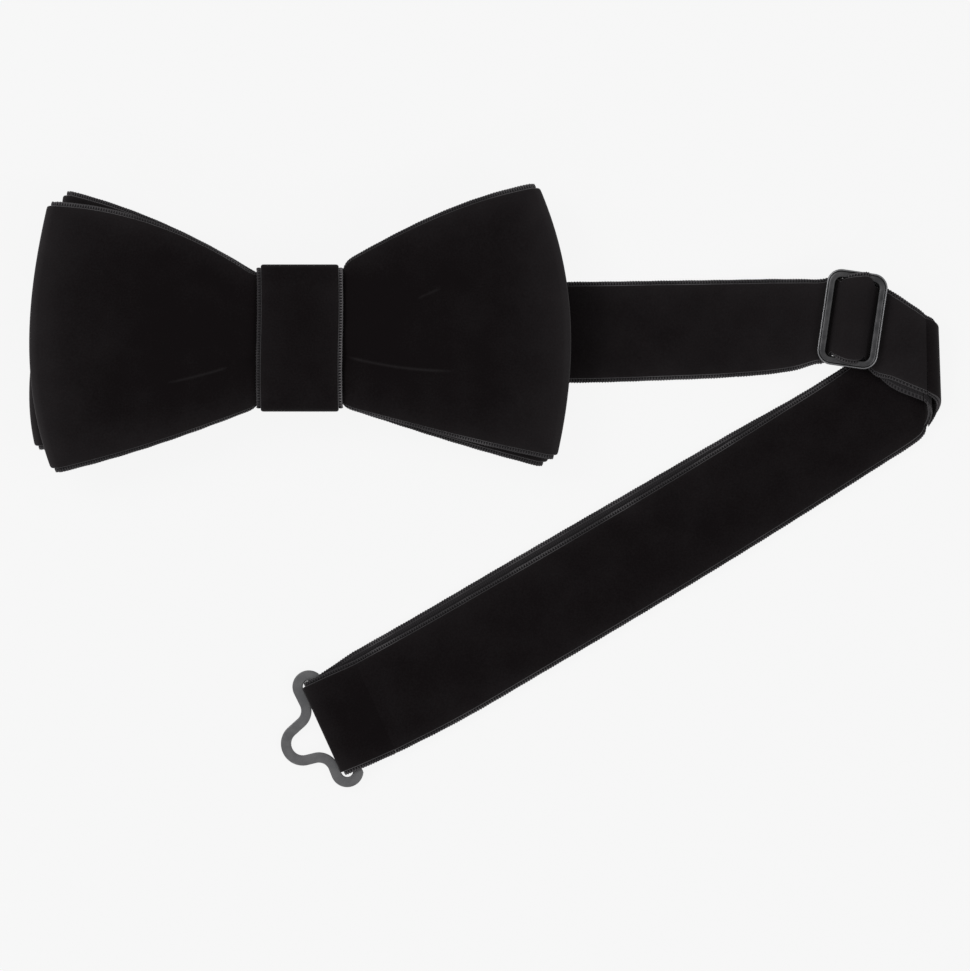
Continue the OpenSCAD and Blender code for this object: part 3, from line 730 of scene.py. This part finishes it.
# ---- Tail ----
# The doubled ribbon runs back to the eye: the lower ply straight and pile down, the upper
# ply pile up and a little out of line with it, so a strip of the lower one's back shows.
eye_at = np.array([8.51, -85.77])
eye_turn = 204.5
eye_ahead = np.array([np.cos(np.radians(eye_turn)), np.sin(np.radians(eye_turn))])
eye_across = sideways(np.full(1, eye_turn))[0]
leg = 9.1
slip_low, slip_up = -2.0, -0.1
upper_end = eye_at - leg * eye_ahead + slip_up * eye_across[:2]
lower_end = eye_at - leg * eye_ahead + slip_low * eye_across[:2]
upper_path = drawn_through([
    (inner_x, -8.15, 1.7, 182, 24.3), (136.0, -9.9, 1.7, 192, 23.7), (127.3, -16.0, 1.7, 211.5, 22.6),
    (111.9, -25.9, 1.7, 212.4, 22.4), (94.15, -37.0, 1.7, 211.8, 22.5), (72.0, -50.4, 1.7, 211, 22.7),
    (49.9, -63.4, 1.7, 210.3, 22.9), (27.8, -76.1, 1.7, 208.0, 23.0),
    (*upper_end, 1.7, 204.5, 22.6)], row_pitch)
lower_path = drawn_through([
    (crease_x - 0.4, -7.85, 0.5, 182, 24.0), (136.5, -9.6, 0.5, 191, 23.6), (123.3, -17.9, 0.5, 210.1, 22),
    (100, -31.4, 0.5, 210.1, 22), (75, -45.9, 0.5, 210.1, 22), (50, -60.4, 0.5, 210.1, 22),
    (30, -72.1, 0.5, 209.4, 22), (*lower_end, 0.5, 205.5, 22.2)], row_pitch)
for name, path, face, under in (("tail_upper", upper_path, 1, "tail_lower"),
                                ("tail_lower", lower_path, -1, "strap_run")):
    # The tail plies' pile is painted a little lighter.
    tail, length = velvet_strip(name + "_ribbon", path[:, :3], sideways(path[:, 3]), path[:, 4],
                                strap_thick, 0.8, 14, painted_lightening=0.08, face=face)
    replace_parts(tail, name)
    path[0, :3] * mm
    path[-1, :3] * mm
    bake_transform(tail)

# ---- Loop round the eye's bar ----
# The ribbon turns up round the bar, loose enough for the eye to swing, and becomes the
# upper ply.
turn = np.radians(np.linspace(-90, 90, 26))
side_path = np.concatenate([
    [(-leg, 0.5), (-5, 0.5), (0, 0.5)],
    np.stack([2.2 + 1.25 * np.cos(turn), 1.75 + 1.25 * np.sin(turn)], -1),
    [(-1.2, 2.98), (-3.2, 2.7), (-6.5, 1.95), (-leg, 1.7)]])
gone = gone_along(side_path)
stops = np.linspace(0, gone[-1], 170)
side_path = np.stack([np.interp(stops, gone, c) for c in side_path.T], -1)
share_gone = stops / gone[-1]
slip = np.interp(share_gone, [0, 0.35, 0.65, 1], [slip_low, -0.35, -0.2, slip_up])[:, None]
centre = np.concatenate([eye_at + side_path[:, :1] * eye_ahead + slip * eye_across[:2],
                         side_path[:, 1:]], 1)
wide = np.interp(share_gone, [0, 0.3, 0.45, 0.55, 0.7, 1], [22.2, 22.3, 22.2, 22.4, 22.6, 22.6])
# The pile is painted lighter round the middle of the turn, a painted sheen.
loop, length = velvet_strip("eye_loop_ribbon", centre, eye_across, wide, strap_thick, 0.8, 14,
                            painted_lightening=0.3 * np.exp(-((share_gone - 0.5) / 0.12) ** 2), face=-1)
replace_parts(loop, "eye_loop")
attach(loop, "tail_end")

# ---- Eye ----
# A flat wavy eye stamped from sheet steel: a thin bar in the ribbon's fold, a round lobe at
# each end of it and a nose between them that the hook catches. It is lacquered dark grey.
grey_finish, grey_shader, strand = finish(
    "dark grey lacquer", (0.06, 0.06, 0.062), 0.42, Specular_IOR_Level=0.5, Coat_Roughness=0.3,
    Coat_Weight=0.15)


def lacquered(shader, start, dark, light):
    """Cloudy colour and roughness with a fine grain; returns the cloudy colour."""
    place = start.node("ShaderNodeTexCoord", out=3)
    cloud = start.node("ShaderNodeTexNoise", {"Vector": place, "Scale": 420.0, "Detail": 4.0})
    grain = start.node("ShaderNodeTexNoise", {"Vector": place, "Scale": 5200.0, "Detail": 2.0})
    (0.32 + 0.2 * cloud + 0.08 * grain).feed(shader.inputs["Roughness"])
    grain.node("ShaderNodeBump", {"Height": grain, "Distance": 0.012 * mm}).feed(shader.inputs["Normal"])
    return blended(step(cloud, 0.3, 0.7), dark, light)


lacquered(grey_shader, strand, (0.050, 0.050, 0.053), (0.075, 0.075, 0.077)).feed(
    grey_shader.inputs["Base Color"])

band_wide = 2.3
sheet_thick = 0.9
lobe, lobe_round = np.array([10.25, 2.5]), 2.5
dip_round, nose_round = 3.55, 3.72


def arc(middle, radius, first, last, count=40):
    """Points round a circle between two angles in degrees."""
    turn = np.radians(np.linspace(first, last, count))
    return middle + radius * np.stack([np.cos(turn), np.sin(turn)], -1)


def inner_tangent(a, b, ra, rb):
    """The bearing from circle a to circle b, and the angle between it and the radius to the
    straight that touches both circles and crosses between them, in degrees."""
    gap = b - a
    return (np.degrees(np.arctan2(gap[1], gap[0])),
            np.degrees(np.arccos((ra + rb) / np.linalg.norm(gap))))


halves = []
for side, dip, nose in ((1, np.array([7.1, 8.45]), np.array([-0.7, 9.0])),
                        (-1, np.array([8.2, 8.45]), np.array([0.7, 9.0]))):
    b1, t1 = inner_tangent(lobe, dip, lobe_round, dip_round)
    b2, t2 = inner_tangent(dip, nose, dip_round, nose_round)
    halves.append((side, 1) * np.concatenate([
        arc(lobe, lobe_round, -90, b1 - t1), arc(dip, dip_round, b1 + 180 - t1, b2 + t2),
        arc(nose, nose_round, b2 - 180 + t2, 89)]))
outline = np.concatenate([halves[0], halves[1][::-1], halves[0][:1]])
gone = gone_along(outline)
stops = np.linspace(0, gone[-1], 521)[:-1]
outline = np.stack([np.interp(stops, gone, c) for c in outline.T], -1)


def rounded_section(wide, thick, round_off, count=7):
    """Share of half the width, and height, round a flat bar's section with rounded corners."""
    a = np.linspace(0, np.pi / 2, count)
    cx, cz = wide / 2 - round_off, thick / 2 - round_off
    quarter = np.stack([cx + round_off * np.cos(a), cz + round_off * np.sin(a)], -1)
    whole = np.concatenate([quarter, (quarter * (-1, 1))[::-1], quarter * (-1, -1),
                            (quarter * (1, -1))[::-1]])[::-1]
    return whole[:, 0] / (wide / 2), whole[:, 1]


def metal_loop(name, path, up, wide, thick, round_off, material, section=None):
    """A flat bar of rounded section bent round a closed path; its width may vary along it.
    A section of its own, in mm from inside to outside and up, may be given instead."""
    share, height = rounded_section(np.max(wide), thick, round_off)
    if section is not None:
        share, height = -section[::-1, 0] * 2 / np.max(wide), section[::-1, 1]
    ahead = np.roll(path, -1, axis=0) - np.roll(path, 1, axis=0)
    across = np.cross(up, ahead)
    across = across / np.linalg.norm(across, axis=1)[:, None]
    points = carried(path, across, wide, share, height, loop=True)
    gone = np.concatenate([gone_along(path), [0]])
    gone[-1] = gone[-2] + np.linalg.norm(path[0] - path[-1])
    return skin(name, points * mm, gone * mm, share * mm, {}, True, material)


def set_down(points, place, turn, drop):
    """Flat points tipped down by drop about the bar, turned on the level, and moved to place."""
    turn, drop = np.radians(turn), np.radians(drop)
    x, y = points[:, 0], points[:, 1]
    flat, z = y * np.cos(drop), -y * np.sin(drop)
    return np.stack([place[0] + x * np.cos(turn) - flat * np.sin(turn),
                     place[1] + x * np.sin(turn) + flat * np.cos(turn), place[2] + z], -1)


drop = 5.2
on_bar = np.abs(outline[:, 1]) < 0.3
wide = np.where(on_bar, 1.0 + 1.1 * np.clip((np.abs(outline[:, 0]) - 9.9) / 1.4, 0, 1) ** 2, band_wide)
path = set_down(outline, (*eye_at, 1.75), eye_turn - 90, drop)
tilt = np.array([0, np.sin(np.radians(drop)), np.cos(np.radians(drop))])
turned = np.radians(eye_turn - 90)
up = np.array([-np.sin(turned) * tilt[1], np.cos(turned) * tilt[1], tilt[2]])
eye = metal_loop("eye_band", path, up, wide, sheet_thick, 0.26, grey_finish)
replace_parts(eye, "eye")
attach(eye, "eye")

# ---- Slider ----
# A flat frame cast in zinc and lacquered black, with rounded edges. Its middle bar is set
# lower, on a short ear at each end, so that the ribbon lies over it and under the frame.
black_finish, black_shader, strand_black = finish(
    "black lacquer", (0.02, 0.02, 0.02), 0.42, Metallic=1.0)
over_bar_place = strand_black.node(
    "ShaderNodeSeparateXYZ", {0: strand_black.node("ShaderNodeUVMap", uv_map="weave")}, out=1) * -1000.0
plain = lacquered(black_shader, strand_black, (0.048, 0.048, 0.050), (0.078, 0.077, 0.079))
# Painted shade: a dark band along the frame's inner edge and a dark line in its groove. Painted highlight: a
# light line along the outer rim.
painted_shade_lines = step(-over_bar_place, 0.55, 0.8) + step(over_bar_place, 0.40, 0.48) * (
    1.0 - step(over_bar_place, 0.60, 0.70))
lacquer_with_painted_shade = blended(painted_shade_lines, plain, (0.012, 0.012, 0.012))
blended(step(over_bar_place, 0.66, 0.78) * (1.0 - step(over_bar_place, 0.93, 0.99)), lacquer_with_painted_shade,
        (0.20, 0.20, 0.205)).feed(black_shader.inputs["Base Color"])

frame_wide, frame_long, frame_bar = 13.6, 21.4, 2.0
x, y = frame_wide / 2 - frame_bar / 2, frame_long / 2 - frame_bar / 2
path = rounded_path([(x, 0), (x, y), (-x, y), (-x, -y), (x, -y), (x, 0)], 2.25, 0.16)[:-1]
turned = np.stack([np.cos(slider_turn) * path[:, 0] - np.sin(slider_turn) * path[:, 1],
                   np.sin(slider_turn) * path[:, 0] + np.cos(slider_turn) * path[:, 1]], -1)
path = np.concatenate([slider_at + turned, np.full((len(path), 1), 6.8)], 1)
frame_section = np.array([
    (-1, 0), (-0.97, 0.2), (-0.9, 0.38), (-0.76, 0.52), (-0.55, 0.585), (-0.2, 0.6),
    (0.15, 0.6), (0.36, 0.575), (0.46, 0.49), (0.53, 0.46), (0.60, 0.49),
    (0.67, 0.56), (0.76, 0.575), (0.86, 0.53), (0.94, 0.42), (0.99, 0.22), (1, 0),
    (0.98, -0.3), (0.85, -0.53), (0.6, -0.6), (0, -0.6), (-0.6, -0.6), (-0.85, -0.53), (-0.98, -0.3)])
slider = metal_loop("slider_frame", path, np.array([0, 0, 1.0]), frame_bar, 1.2, 0.42, black_finish,
                    section=frame_section)
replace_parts(slider, "slider")
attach(slider, "slider")

side = np.concatenate([[(-frame_long / 2 + 1.0, 6.6), (-frame_long / 2 + 1.0, 5.1)],
                       [(frame_long / 2 - 1.0, 5.1), (frame_long / 2 - 1.0, 6.6)]])
path = rounded_path(side, 0.55, 0.2)
slider_across = sideways(np.full(1, np.degrees(slider_turn)))[0][:2]
centre = np.concatenate([slider_at + path[:, :1] * slider_across, path[:, 1:]], 1)
share, height = rounded_section(1.2, 1.2, 0.58)
across = np.broadcast_to(np.array([*slider_ahead, 0]), centre.shape)
points = carried(centre, across, 1.2, share, height)
bar = skin("slider_middle_bar", points[:, ::-1] * mm, gone_along(centre) * mm, share[::-1] * mm, {},
           False, black_finish)
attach(bar, "slider")

# ---- Hook tab ----
# A short length of the same ribbon, sewn in behind the other wing. It lies under the bow,
# and its end is turned round the hook's bar and stitched back on itself.
tab = drawn_through([
    (-0.3, 1.1, 1.8, 180, 22), (-6, 1.1, 1.8, 180, 22), (-12, 1.1, 1.75, 180, 22),
    (-20, 1.1, 0.95, 180, 22), (-27, 1.1, 0.52, 180, 22), (-33.5, 1.1, 0.5, 180, 22)], row_pitch)
tab_ribbon, length = velvet_strip("tab_ribbon", tab[:, :3], sideways(tab[:, 3]), tab[:, 4],
                                  strap_thick, 0.95, 14)
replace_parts(tab_ribbon, "tab_root", "tab_run")
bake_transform(tab_ribbon)

hook_at = np.array([-42.6, 1.1])
side_path = np.concatenate([
    [(-leg, 0.5), (-5, 0.5), (0, 0.5)],
    np.stack([1.8 + 1.25 * np.cos(turn), 1.75 + 1.25 * np.sin(turn)], -1),
    [(-1.2, 2.98), (-3.2, 2.7), (-6.5, 1.95), (-leg + 0.2, 1.7)]])
gone = gone_along(side_path)
stops = np.linspace(0, gone[-1], 170)
side_path = np.stack([np.interp(stops, gone, c) for c in side_path.T], -1)
centre = np.stack([hook_at[0] - side_path[:, 0], np.full(len(stops), hook_at[1]), side_path[:, 1]], -1)
loop, length = velvet_strip("hook_loop_ribbon", centre, sideways(np.full(1, 180.0))[0], 21.8,
                            strap_thick, 0.95, 14)
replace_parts(loop, "hook_loop")
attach(loop, "tab")

# ---- Hook ----
# Cut and bent from the same steel sheet as the eye, and lacquered like it: a bar in the
# loop, two arms, a cross bar, and a tongue that turns back over itself to catch the nose.
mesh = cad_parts["hook"].data
mesh.materials.clear()
mesh.materials.append(grey_finish)
